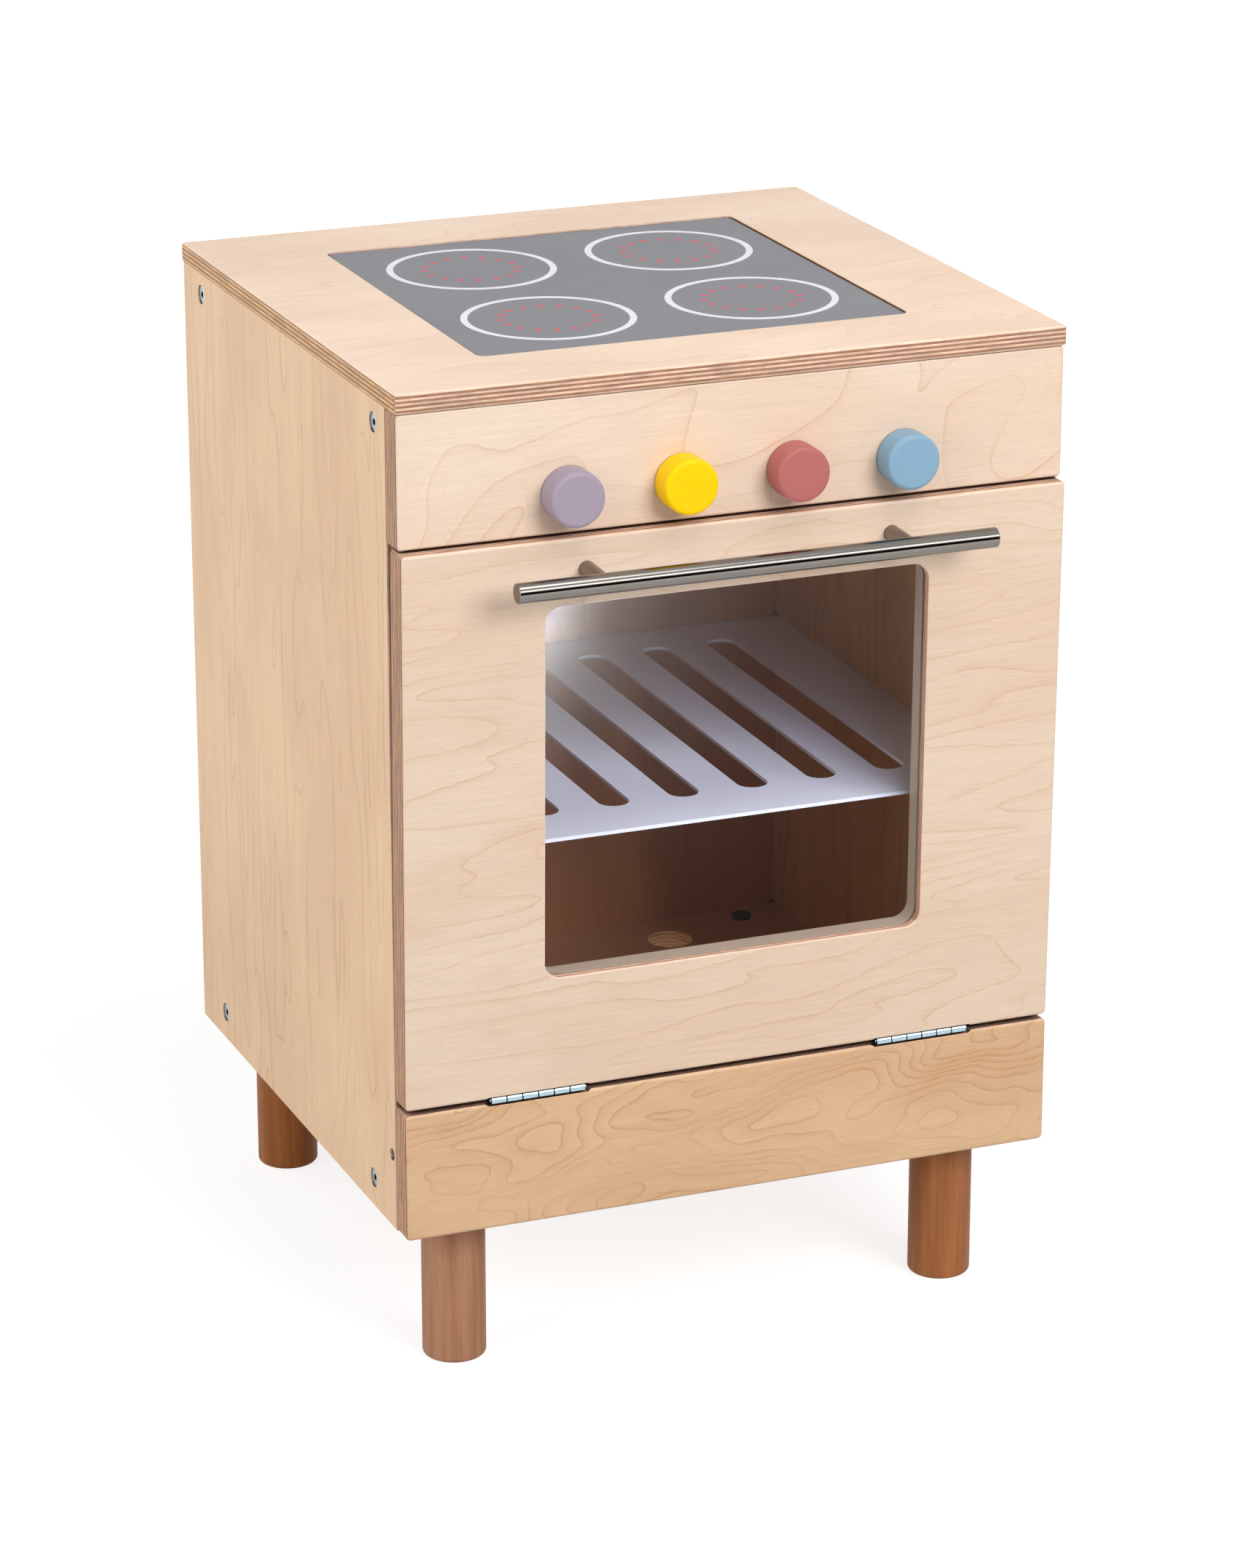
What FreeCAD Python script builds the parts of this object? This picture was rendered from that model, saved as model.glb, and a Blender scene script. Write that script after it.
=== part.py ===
import FreeCAD, Part
import math
import os

# A toy stove of varnished birch plywood, in millimetres. +Z is up and the front faces -Y. The origin is on
# the ground, under the middle of the box that holds the stove and its handle. The shut door rests on two
# magnets, which keep its top slightly out from the front.

# Worktop and hob plate
TOP_WIDTH = 420.0
TOP_DEPTH = 396.0
TOP_HEIGHT = 618.5
TOP_THICK = 12.0
TOP_CORNER = 2.6
TOP_EASE = 1.6
TOP_SIDE_OVERHANG = 1.0
TOP_FRONT_OVERHANG = 1.5
TOP_BACK_OVERHANG = 1.0
HOB_WIDTH = 270.0
HOB_THICK = 3.5
HOB_CORNER = 5.0
HOB_EASE = 0.4
HOB_SINK = 0.6
HOB_JOINT = 1.2

# Cabinet panels, rails and battens
GROUND_CLEARANCE = 100.0
PLINTH_HEIGHT = 80.0
CONTROL_HEIGHT = 80.5
FRONT_JOINT = 3.0
DOOR_TOP_JOINT = 1.0
FRONT_THICK = 18.0
FRONT_CORNER = 3.0
FRONT_EASE = 2.0
SIDE_THICK = 15.0
SIDE_EASE = 0.6
BACK_THICK = 9.0
FLOOR_THICK = 12.0
FLOOR_RAISE = 12.5
FLOOR_HOLE = 30.0
FLOOR_HOLE_X = 102.0
FLOOR_HOLE_FROM_BACK = 38.0
BATTEN_WIDTH = 40.0
BATTEN_HEIGHT = 27.0
RAIL_THICK = 12.0
RAIL_HEIGHT = 45.0

# Oven shelf
SHELF_THICK = 2.2
SHELF_RISE = 205.0
SHELF_SETBACK = 13.0
SHELF_GROOVE = 5.0
SHELF_FIT = 0.1
SLOT_COUNT = 7
SLOT_WIDTH = 19.5
SLOT_PITCH = 45.4
SLOT_FRONT_MARGIN = 39.5
SLOT_BACK_MARGIN = 33.0

# Legs and their bolts
LEG_DIAMETER = 39.0
LEG_ROUND = 3.0
LEG_SIDE_INSET = 46.5
LEG_FRONT_INSET = 30.5
LEG_BACK_INSET = 27.0
LEG_BOLT = 8.0
LEG_BOLT_BITE = 35.0
LEG_BOLT_HEAD = 13.0
LEG_BOLT_HEAD_HEIGHT = 2.5
LEG_BOLT_SOCKET = 5.0
LEG_BOLT_SOCKET_DEPTH = 1.6

# Knobs, each on a spindle through the control panel
KNOB_COLOURS = ("lilac", "yellow", "red", "blue")
KNOB_DIAMETER = 33.5
KNOB_HEIGHT = 17.0
KNOB_FRONT_ROUND = 2.5
KNOB_BACK_ROUND = 0.8
KNOB_PITCH = 70.0
KNOB_RISE = 24.0
SPINDLE = 6.0
SPINDLE_GRIP = 11.0
SPINDLE_END = 2.0
WASHER_DIAMETER = 14.0
WASHER_THICK = 1.2
NUT_ACROSS = 10.0
NUT_HEIGHT = 5.0

# Door window, its pane and the frame behind the pane
WINDOW_WIDTH = 242.0
WINDOW_TOP_MARGIN = 40.5
WINDOW_UNDER_MARGIN = 71.5
WINDOW_CORNER = 10.0
WINDOW_EASE = 1.0
PANE_SETBACK = 5.0
PANE_THICK = 3.0
PANE_LAP = 12.0
PANE_FIT = 0.3
CLIP_OFFSET = 4.0
CLIP_WASHER = 14.0
CLIP_WASHER_THICK = 1.0
CLIP_HEAD = 7.0
CLIP_HEAD_HEIGHT = 1.8
CLIP_SHANK = 3.0
CLIP_BITE = 11.0
CLIP_SPREAD_SHARE = 0.15

# Bar handle
HANDLE_LENGTH = 300.0
HANDLE_DIAMETER = 12.0
HANDLE_WALL = 1.4
HANDLE_OUT = 29.0
HANDLE_DROP = 19.4
HANDLE_EDGE = 0.5
HANDLE_CAP_THICK = 2.0
POST_SPACING = 192.0
POST_DIAMETER = 10.0
POST_SPIGOT = 6.0
HANDLE_SCREW = 4.0
HANDLE_SCREW_BITE = 12.0
HANDLE_SCREW_HEAD = 8.0
HANDLE_SCREW_HEAD_HEIGHT = 2.4

# Butt hinges in the joint between the door and the plinth
HINGE_INSET = 84.0
HINGE_LENGTH = 60.0
KNUCKLE_COUNT = 6
KNUCKLE_DIAMETER = 5.4
KNUCKLE_PLAY = 0.3
KNUCKLE_EASE = 0.35
HINGE_PIN = 3.0
HINGE_PIN_END = 0.5
LEAF_THICK = 1.0
LEAF_REACH = 13.0
LEAF_CLEAR = 0.4
POCKET_CLEAR = 1.0
POCKET_END = 5.0
STOP_CLEARANCE = 0.15
HINGE_SCREW_SHARES = (-0.36, 0.0, 0.36)

# Door magnets that stand proud of the sides' front edges, and their strike discs in the door
MAGNET_DIAMETER = 10.0
MAGNET_LENGTH = 18.0
MAGNET_PROUD = 5.6
MAGNET_ROUND = 0.6
MAGNET_DROP = 30.0
CATCH_GAP = 0.15
STRIKE_DIAMETER = 12.0
STRIKE_THICK = 1.5
STRIKE_SHANK = 3.5
STRIKE_BITE = 10.0
STRIKE_SINK = 0.1

# Socket screws of the carcass
SIDE_SCREW = 6.0
SIDE_SCREW_HEAD = 12.0
SIDE_SCREW_HEAD_HEIGHT = 4.0
SIDE_SCREW_SOCKET = 4.0
SIDE_SCREW_SOCKET_DEPTH = 2.5
SIDE_SCREW_SINK = 0.8
SIDE_SCREW_BITE = 25.0
FLOOR_SCREW_FRONT = 40.0
FLOOR_SCREW_BACK = 47.0
UPPER_SCREW_BACK = 35.0
BACK_SCREW_SHARE = 0.7

# Wood screws of the fronts, rail and worktop
WOOD_SCREW = 3.6
WOOD_SCREW_HEAD = 7.5
WOOD_SCREW_HEAD_HEIGHT = 3.0
WOOD_SCREW_SOCKET = 2.5
WOOD_SCREW_SOCKET_DEPTH = 1.5
WOOD_SCREW_SINK = 1.5
WOOD_SCREW_BITE = 11.0
WORKTOP_SCREW_COVER = 1.5
WORKTOP_SCREW_SHARE = 0.35
CONTROL_SCREW_SHARE = 0.6
PLINTH_SCREW_SHARES = (0.25, 0.8)

# Hinge screws
HINGE_SCREW = 2.8
HINGE_SCREW_HEAD = 5.6
HINGE_SCREW_HEAD_HEIGHT = 1.6
HINGE_SCREW_SOCKET = 1.8
HINGE_SCREW_SOCKET_DEPTH = 0.7
HINGE_SCREW_BITE = 13.0

# Fits that all pieces share
RUN_GAP = 0.3
RUN_FIT = 0.05
SCREW_FIT = 0.05
SCREW_RIM_SHARE = 0.12
SCREW_TIP_SHARE = 0.6
CUT_OVER = 1.0

# Levels in height
carcass_z = GROUND_CLEARANCE
floor_under_z = carcass_z + FLOOR_RAISE
floor_z = floor_under_z + FLOOR_THICK
plinth_top_z = carcass_z + PLINTH_HEIGHT
door_under_z = plinth_top_z + FRONT_JOINT
top_z = TOP_HEIGHT
top_under_z = top_z - TOP_THICK
control_under_z = top_under_z - CONTROL_HEIGHT
door_top_z = control_under_z - DOOR_TOP_JOINT
batten_under_z = top_under_z - BATTEN_HEIGHT
batten_mid_z = top_under_z - BATTEN_HEIGHT / 2
floor_mid_z = floor_under_z + FLOOR_THICK / 2
rail_mid_z = floor_z + RAIL_HEIGHT / 2
shelf_z = floor_z + SHELF_RISE
window_top_z = door_top_z - WINDOW_TOP_MARGIN
window_under_z = door_under_z + WINDOW_UNDER_MARGIN
handle_z = door_top_z - HANDLE_DROP
magnet_z = door_top_z - MAGNET_DROP
knob_z = control_under_z + KNOB_RISE
hinge_z = plinth_top_z + FRONT_JOINT / 2

# Levels in width
body_half = TOP_WIDTH / 2 - TOP_SIDE_OVERHANG
inner_half = body_half - SIDE_THICK
hinge_x = body_half - HINGE_INSET

# The hinge axis lies so far behind the front face that the door's eased lower edge meets the plinth's eased
# upper edge, but for the stop clearance, when the door has dropped by a right angle.
hinge_set_back = FRONT_JOINT / 2 + (2 - math.sqrt(2)) * FRONT_EASE - STOP_CLEARANCE

# The magnets hold the shut door at a small angle about that axis, in radians.
magnet_under_z = magnet_z - MAGNET_DIAMETER / 2
ajar = math.atan2(MAGNET_PROUD + CATCH_GAP - STRIKE_SINK, magnet_under_z - hinge_z)
handle_swing = (HANDLE_OUT + hinge_set_back) * math.cos(ajar) + (handle_z - hinge_z) * math.sin(ajar)

# Levels in depth
handle_reach = handle_swing - hinge_set_back + HANDLE_DIAMETER / 2
overall_depth = TOP_DEPTH - TOP_FRONT_OVERHANG + handle_reach
face_y = handle_reach - overall_depth / 2
top_front_y = face_y - TOP_FRONT_OVERHANG
top_back_y = top_front_y + TOP_DEPTH
carcass_front_y = face_y + FRONT_THICK
carcass_back_y = top_back_y - TOP_BACK_OVERHANG
back_inner_y = carcass_back_y - BACK_THICK
rail_back_y = carcass_front_y + RAIL_THICK
hinge_y = face_y + hinge_set_back
handle_y = face_y - HANDLE_OUT
pane_front_y = face_y + PANE_SETBACK
pane_back_y = pane_front_y + PANE_THICK

hob_depth = HOB_THICK + HOB_SINK

X = FreeCAD.Vector(1, 0, 0)
Y = FreeCAD.Vector(0, 1, 0)
Z = FreeCAD.Vector(0, 0, 1)
SIDES = (-1, 1)
HEXAGON_SIDES = 6
SAME = 1e-6


def vec(x, y, z):
    return FreeCAD.Vector(x, y, z)


def block(x, y, z):
    """Box between low and high values along each axis."""
    return Part.makeBox(x[1] - x[0], y[1] - y[0], z[1] - z[0], vec(x[0], y[0], z[0]))


def rod(diameter, start, end):
    return Part.makeCylinder(diameter / 2, (end - start).Length, start, end - start)


def turned(profile):
    """Solid of revolution about Z from points of radius and height."""
    points = [vec(radius, 0, height) for radius, height in profile]
    outline = Part.makePolygon(points + points[:1])
    return Part.Face(outline).revolve(vec(0, 0, 0), Z, 360)


def put(shape, point, outward):
    """Turns a shape's +Z to the outward direction and moves its origin to a point."""
    moved = shape.copy()
    moved.Placement = FreeCAD.Placement(point, FreeCAD.Rotation(Z, outward))
    return moved


def edges_along(shape, direction):
    """Straight edges parallel to a direction."""
    straight = [edge for edge in shape.Edges if isinstance(edge.Curve, Part.Line)]
    return [edge for edge in straight if edge.Curve.Direction.cross(direction).Length < SAME]


def edges_in_plane(shape, direction, level):
    """Edges that lie wholly at one level along a direction."""
    found = []
    for edge in shape.Edges:
        levels = [vertex.Point.dot(direction) for vertex in edge.Vertexes]
        if max(abs(value - level) for value in levels) < SAME:
            found.append(edge)
    return found


def rounded_block(x, y, z, direction, corner):
    """Box with its four edges along a direction rounded."""
    plain = block(x, y, z)
    return plain.makeFillet(corner, edges_along(plain, direction))


def cut_all(shape, tools):
    return shape.cut(Part.makeCompound(tools))


def hexagon(across, depth):
    """Six-sided prism down from the origin."""
    corners = []
    for step in range(HEXAGON_SIDES):
        angle = 2 * math.pi * step / HEXAGON_SIDES
        corners.append(vec(math.cos(angle), math.sin(angle), 0) * (across / math.sqrt(3)))
    return Part.Face(Part.makePolygon(corners + corners[:1])).extrude(vec(0, 0, -depth))


def countersunk(head, head_height, shank, length):
    """Countersunk screw without its socket: the head's face is at the origin, the tip down."""
    rim = head_height * SCREW_RIM_SHARE
    tip = shank * SCREW_TIP_SHARE
    wide = head / 2
    narrow = shank / 2
    cone = [(0, 0), (wide, 0), (wide, -rim), (narrow, -head_height)]
    return turned(cone + [(narrow, tip - length), (0, -length)])


def screw_bore(head, head_height, shank, length):
    """Room for a countersunk screw, open above the head."""
    rim = head_height * SCREW_RIM_SHARE
    wide = head / 2 + SCREW_FIT
    narrow = shank / 2 + SCREW_FIT
    deep = length + SCREW_FIT
    mouth = head + CUT_OVER
    cone = [(0, mouth), (wide, mouth), (wide, -rim), (narrow, -head_height)]
    return turned(cone + [(narrow, -deep), (0, -deep)])


def stepped(wide, wide_depth, narrow, narrow_depth, rise, grow):
    """Round head or disc with a shank below it: rise is above the origin, the depths below."""
    broad = wide / 2 + grow
    slim = narrow / 2 + grow
    end = -narrow_depth - grow
    head = [(0, rise), (broad, rise), (broad, -wide_depth)]
    return turned(head + [(slim, -wide_depth), (slim, end), (0, end)])


def side_screw(length):
    body = countersunk(SIDE_SCREW_HEAD, SIDE_SCREW_HEAD_HEIGHT, SIDE_SCREW, length)
    return body.cut(hexagon(SIDE_SCREW_SOCKET, SIDE_SCREW_SOCKET_DEPTH))


def wood_screw(length):
    body = countersunk(WOOD_SCREW_HEAD, WOOD_SCREW_HEAD_HEIGHT, WOOD_SCREW, length)
    return body.cut(hexagon(WOOD_SCREW_SOCKET, WOOD_SCREW_SOCKET_DEPTH))


def hinge_screw():
    body = countersunk(HINGE_SCREW_HEAD, HINGE_SCREW_HEAD_HEIGHT, HINGE_SCREW, HINGE_SCREW_BITE + LEAF_THICK)
    return body.cut(hexagon(HINGE_SCREW_SOCKET, HINGE_SCREW_SOCKET_DEPTH))


def side_bore(length):
    return screw_bore(SIDE_SCREW_HEAD, SIDE_SCREW_HEAD_HEIGHT, SIDE_SCREW, length)


def wood_bore(length):
    return screw_bore(WOOD_SCREW_HEAD, WOOD_SCREW_HEAD_HEIGHT, WOOD_SCREW, length)


def hinge_bore():
    return screw_bore(HINGE_SCREW_HEAD, HINGE_SCREW_HEAD_HEIGHT, HINGE_SCREW, HINGE_SCREW_BITE + LEAF_THICK)


# Screw places: each is the middle of the head's face and the way it faces
side_screw_length = SIDE_THICK - SIDE_SCREW_SINK + SIDE_SCREW_BITE
back_screw_length = BACK_THICK - SIDE_SCREW_SINK + SIDE_SCREW_BITE
rail_screw_length = SIDE_THICK - WOOD_SCREW_SINK + WOOD_SCREW_BITE
plinth_screw_length = RAIL_THICK - WOOD_SCREW_SINK + WOOD_SCREW_BITE
control_screw_length = BATTEN_WIDTH - WOOD_SCREW_SINK + WOOD_SCREW_BITE
worktop_screw_length = BATTEN_HEIGHT - WOOD_SCREW_SINK + TOP_THICK - hob_depth - WORKTOP_SCREW_COVER
batten_front_mid_y = carcass_front_y + BATTEN_WIDTH / 2
batten_back_mid_y = back_inner_y - BATTEN_WIDTH / 2


def side_screw_places(side):
    head_x = side * (body_half - SIDE_SCREW_SINK)
    spots = [
        (batten_front_mid_y, batten_mid_z),
        (carcass_back_y - UPPER_SCREW_BACK, batten_mid_z),
        (carcass_front_y + FLOOR_SCREW_FRONT, floor_mid_z),
        (carcass_back_y - FLOOR_SCREW_BACK, floor_mid_z),
    ]
    return [(vec(head_x, y, z), X * side) for y, z in spots]


def rail_screw_places(side):
    head_x = side * (body_half - WOOD_SCREW_SINK)
    return [(vec(head_x, carcass_front_y + RAIL_THICK / 2, rail_mid_z), X * side)]


def back_screw_places():
    spread = inner_half * BACK_SCREW_SHARE
    head_y = carcass_back_y - SIDE_SCREW_SINK
    return [(vec(side * spread, head_y, z), Y) for side in SIDES for z in (floor_mid_z, batten_mid_z)]


def plinth_screw_places():
    head_y = rail_back_y - WOOD_SCREW_SINK
    places = []
    for share in PLINTH_SCREW_SHARES:
        for side in SIDES:
            places.append((vec(side * share * inner_half, head_y, rail_mid_z), Y))
    return places


def control_screw_places():
    spread = inner_half * CONTROL_SCREW_SHARE
    head_y = carcass_front_y + BATTEN_WIDTH - WOOD_SCREW_SINK
    return [(vec(side * spread, head_y, batten_mid_z), Y) for side in SIDES]


def worktop_screw_places():
    spread = inner_half * WORKTOP_SCREW_SHARE
    head_z = batten_under_z + WOOD_SCREW_SINK
    middles = (batten_front_mid_y, batten_back_mid_y)
    return [(vec(side * spread, y, head_z), -Z) for side in SIDES for y in middles]


def hinge_screw_places(outward):
    """Screws of the door leaves, whose heads face down, or of the plinth leaves, whose heads face up."""
    leaf_mid = (leaf_plate_start() + LEAF_REACH) / 2
    head_z = hinge_z + outward * (LEAF_THICK - FRONT_JOINT / 2)
    places = []
    for side in SIDES:
        for share in HINGE_SCREW_SHARES:
            x = side * hinge_x + share * HINGE_LENGTH
            places.append((vec(x, hinge_y + leaf_mid, head_z), Z * outward))
    return places


def leg_places():
    ys = (carcass_front_y + LEG_FRONT_INSET, carcass_back_y - LEG_BACK_INSET)
    names = ("front", "back")
    places = {}
    for row, y in zip(names, ys):
        places[row + "_left"] = (-(body_half - LEG_SIDE_INSET), y)
        places[row + "_right"] = (body_half - LEG_SIDE_INSET, y)
    return places


def knob_xs():
    first = -KNOB_PITCH * (len(KNOB_COLOURS) - 1) / 2
    return [first + KNOB_PITCH * number for number in range(len(KNOB_COLOURS))]


def clip_places():
    reach = PANE_LAP + CLIP_OFFSET
    side_x = WINDOW_WIDTH / 2 + reach
    spread = WINDOW_WIDTH * CLIP_SPREAD_SHARE
    mid_z = (window_top_z + window_under_z) / 2
    spots = [(-side_x, mid_z), (side_x, mid_z)]
    for side in SIDES:
        spots.append((side * spread, window_top_z + reach))
        spots.append((side * spread, window_under_z - reach))
    return [(vec(x, carcass_front_y, z), Y) for x, z in spots]


def strike_places():
    x = inner_half + SIDE_THICK / 2
    return [(vec(side * x, carcass_front_y - STRIKE_SINK, magnet_z), Y) for side in SIDES]


def placed(make, length, places):
    return [put(make(length), point, outward) for point, outward in places]


# Worktop and hob


def hob_blank(under_z, over_z, grow):
    half = HOB_WIDTH / 2 + grow
    mid_y = (top_front_y + top_back_y) / 2
    return rounded_block((-half, half), (mid_y - half, mid_y + half), (under_z, over_z), Z, HOB_CORNER + grow)


def worktop():
    half = TOP_WIDTH / 2
    slab = rounded_block((-half, half), (top_front_y, top_back_y), (top_under_z, top_z), Z, TOP_CORNER)
    rims = edges_in_plane(slab, Z, top_z) + edges_in_plane(slab, Z, top_under_z)
    slab = slab.makeFillet(TOP_EASE, rims)
    recess = hob_blank(top_z - hob_depth, top_z + CUT_OVER, HOB_JOINT)
    return cut_all(slab.cut(recess), placed(wood_bore, worktop_screw_length, worktop_screw_places()))


def hob_plate():
    surface_z = top_z - HOB_SINK
    plate = hob_blank(surface_z - HOB_THICK, surface_z, 0)
    return plate.makeFillet(HOB_EASE, edges_in_plane(plate, Z, surface_z))


# Carcass


def side_panel(side):
    x = sorted((side * inner_half, side * body_half))
    board = block(x, (carcass_front_y, carcass_back_y), (carcass_z, top_under_z))
    board = board.makeFillet(SIDE_EASE, edges_in_plane(board, X, side * body_half))
    groove_x = sorted((side * (inner_half - CUT_OVER), side * (inner_half + SHELF_GROOVE)))
    groove_y = (carcass_front_y + SHELF_SETBACK - SHELF_FIT, back_inner_y)
    groove_z = (shelf_z - SHELF_THICK - SHELF_FIT, shelf_z + SHELF_FIT)
    magnet_x = side * (inner_half + SIDE_THICK / 2)
    mouth = vec(magnet_x, carcass_front_y - CUT_OVER, magnet_z)
    end = vec(magnet_x, carcass_front_y - MAGNET_PROUD + MAGNET_LENGTH, magnet_z)
    tools = [block(groove_x, groove_y, groove_z), rod(MAGNET_DIAMETER + 2 * SCREW_FIT, mouth, end)]
    tools += placed(side_bore, side_screw_length, side_screw_places(side))
    tools += placed(wood_bore, rail_screw_length, rail_screw_places(side))
    return cut_all(board, tools)


def back_panel():
    board = block((-inner_half, inner_half), (back_inner_y, carcass_back_y), (floor_under_z, top_under_z))
    return cut_all(board, placed(side_bore, back_screw_length, back_screw_places()))


def floor_panel():
    board = block((-inner_half, inner_half), (carcass_front_y, back_inner_y), (floor_under_z, floor_z))
    tools = []
    hole_y = back_inner_y - FLOOR_HOLE_FROM_BACK
    under = floor_under_z - CUT_OVER
    over = floor_z + CUT_OVER
    tools.append(rod(FLOOR_HOLE, vec(FLOOR_HOLE_X, hole_y, under), vec(FLOOR_HOLE_X, hole_y, over)))
    for x, y in leg_places().values():
        tools.append(rod(LEG_BOLT + 2 * SCREW_FIT, vec(x, y, under), vec(x, y, over)))
    for side in SIDES:
        tools += placed(side_bore, side_screw_length, side_screw_places(side))
    tools += placed(side_bore, back_screw_length, back_screw_places())
    return cut_all(board, tools)


def batten(y):
    board = block((-inner_half, inner_half), y, (batten_under_z, top_under_z))
    tools = placed(wood_bore, worktop_screw_length, worktop_screw_places())
    for side in SIDES:
        tools += placed(side_bore, side_screw_length, side_screw_places(side))
    tools += placed(wood_bore, control_screw_length, control_screw_places())
    tools += placed(side_bore, back_screw_length, back_screw_places())
    return cut_all(board, tools)


def plinth_rail():
    board = block((-inner_half, inner_half), (carcass_front_y, rail_back_y), (floor_z, floor_z + RAIL_HEIGHT))
    tools = placed(wood_bore, plinth_screw_length, plinth_screw_places())
    for side in SIDES:
        tools += placed(wood_bore, rail_screw_length, rail_screw_places(side))
    return cut_all(board, tools)


def oven_shelf():
    half = inner_half + SHELF_GROOVE - SHELF_FIT
    front = carcass_front_y + SHELF_SETBACK
    back = back_inner_y - SHELF_FIT
    sheet = block((-half, half), (front, back), (shelf_z - SHELF_THICK, shelf_z))
    slot_y = (front + SLOT_FRONT_MARGIN, back - SLOT_BACK_MARGIN)
    slot_z = (shelf_z - SHELF_THICK - CUT_OVER, shelf_z + CUT_OVER)
    slots = []
    for number in range(SLOT_COUNT):
        mid = SLOT_PITCH * (number - (SLOT_COUNT - 1) / 2)
        radius = SLOT_WIDTH / 2
        slots.append(block((mid - radius, mid + radius), (slot_y[0] + radius, slot_y[1] - radius), slot_z))
        for y in (slot_y[0] + radius, slot_y[1] - radius):
            slots.append(rod(SLOT_WIDTH, vec(mid, y, slot_z[0]), vec(mid, y, slot_z[1])))
    return cut_all(sheet, slots)


def leg(x, y):
    post = rod(LEG_DIAMETER, vec(x, y, 0), vec(x, y, floor_under_z))
    post = post.makeFillet(LEG_ROUND, edges_in_plane(post, Z, 0))
    depth = LEG_BOLT_BITE + SCREW_FIT
    return post.cut(rod(LEG_BOLT + 2 * SCREW_FIT, vec(x, y, floor_under_z - depth), vec(x, y, floor_z)))


def leg_bolt():
    """Low round head on the oven floor, shank down into the leg."""
    body = stepped(LEG_BOLT_HEAD, 0, LEG_BOLT, FLOOR_THICK + LEG_BOLT_BITE, LEG_BOLT_HEAD_HEIGHT, 0)
    socket = hexagon(LEG_BOLT_SOCKET, LEG_BOLT_SOCKET_DEPTH)
    return body.cut(put(socket, vec(0, 0, LEG_BOLT_HEAD_HEIGHT), Z))


def magnet(side):
    x = side * (inner_half + SIDE_THICK / 2)
    start = vec(x, carcass_front_y - MAGNET_PROUD, magnet_z)
    body = rod(MAGNET_DIAMETER, start, start + Y * MAGNET_LENGTH)
    return body.makeFillet(MAGNET_ROUND, edges_in_plane(body, Y, start.y))


# Fronts


def front_panel(under_z, over_z):
    """Overlay front: corners and front edges eased, back edges sharp."""
    y = (face_y, carcass_front_y)
    board = rounded_block((-body_half, body_half), y, (under_z, over_z), Y, FRONT_CORNER)
    return board.makeFillet(FRONT_EASE, edges_in_plane(board, Y, face_y))


def hinge_pockets():
    """Round notches for the hinge barrels, tapered at both ends towards the joint."""
    radius = KNUCKLE_DIAMETER / 2 + POCKET_CLEAR
    half = HINGE_LENGTH / 2 + HINGE_PIN_END + POCKET_CLEAR
    pocket = turned([(0, -half - POCKET_END), (radius, -half), (radius, half), (0, half + POCKET_END)])
    return [put(pocket, vec(side * hinge_x, hinge_y, hinge_z), X) for side in SIDES]


def hinge_bores(outward):
    return [put(hinge_bore(), point, way) for point, way in hinge_screw_places(outward)]


def control_panel():
    tools = placed(wood_bore, control_screw_length, control_screw_places())
    for x in knob_xs():
        start = vec(x, face_y - CUT_OVER, knob_z)
        tools.append(rod(SPINDLE + 2 * RUN_FIT, start, vec(x, carcass_front_y + CUT_OVER, knob_z)))
    return cut_all(front_panel(control_under_z, top_under_z), tools)


def plinth_panel():
    tools = placed(wood_bore, plinth_screw_length, plinth_screw_places())
    return cut_all(front_panel(carcass_z, plinth_top_z), tools + hinge_pockets() + hinge_bores(1))


def window_block(y, grow):
    half = WINDOW_WIDTH / 2 + grow
    z = (window_under_z - grow, window_top_z + grow)
    return rounded_block((-half, half), y, z, Y, WINDOW_CORNER + grow)


def door_panel():
    behind = carcass_front_y + CUT_OVER
    board = front_panel(door_under_z, door_top_z).cut(window_block((face_y - CUT_OVER, behind), 0))
    limit = WINDOW_WIDTH / 2 + SAME
    rim = [edge for edge in edges_in_plane(board, Y, face_y) if edge.BoundBox.XMax < limit]
    rim = [edge for edge in rim if edge.BoundBox.XMin > -limit]
    board = board.makeFillet(WINDOW_EASE, rim)
    tools = [window_block((pane_front_y, behind), PANE_LAP)] + hinge_pockets() + hinge_bores(-1)
    for point, outward in clip_places():
        tools.append(rod(CLIP_SHANK + 2 * SCREW_FIT, point + outward * CUT_OVER, point - outward * CLIP_BITE))
    recess = stepped(STRIKE_DIAMETER, STRIKE_THICK, STRIKE_SHANK, STRIKE_BITE, CUT_OVER, SCREW_FIT)
    tools += [put(recess, point, outward) for point, outward in strike_places()]
    for x in post_xs():
        start = vec(x, face_y - CUT_OVER, handle_z)
        tools.append(rod(HANDLE_SCREW + 2 * SCREW_FIT, start, vec(x, behind, handle_z)))
    return cut_all(board, tools)


def window_pane():
    return window_block((pane_front_y, pane_back_y), PANE_LAP - PANE_FIT)


def pane_frame():
    """Flat frame behind the pane, flush with the door's back and with the window's edge."""
    board = window_block((pane_back_y, carcass_front_y), PANE_LAP - PANE_FIT)
    return board.cut(window_block((pane_front_y, carcass_front_y + CUT_OVER), 0))


def pane_clip():
    """Pan-head screw with a wide washer that holds the frame's edge."""
    washer = CLIP_WASHER / 2
    head = CLIP_HEAD / 2
    shank = CLIP_SHANK / 2
    top = CLIP_WASHER_THICK + CLIP_HEAD_HEIGHT
    crown = [(0, top), (head, top), (head, CLIP_WASHER_THICK)]
    rim = [(washer, CLIP_WASHER_THICK), (washer, 0)]
    return turned(crown + rim + [(shank, 0), (shank, -CLIP_BITE), (0, -CLIP_BITE)])


def strike_disc():
    return stepped(STRIKE_DIAMETER, STRIKE_THICK, STRIKE_SHANK, STRIKE_BITE, 0, 0)


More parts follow.
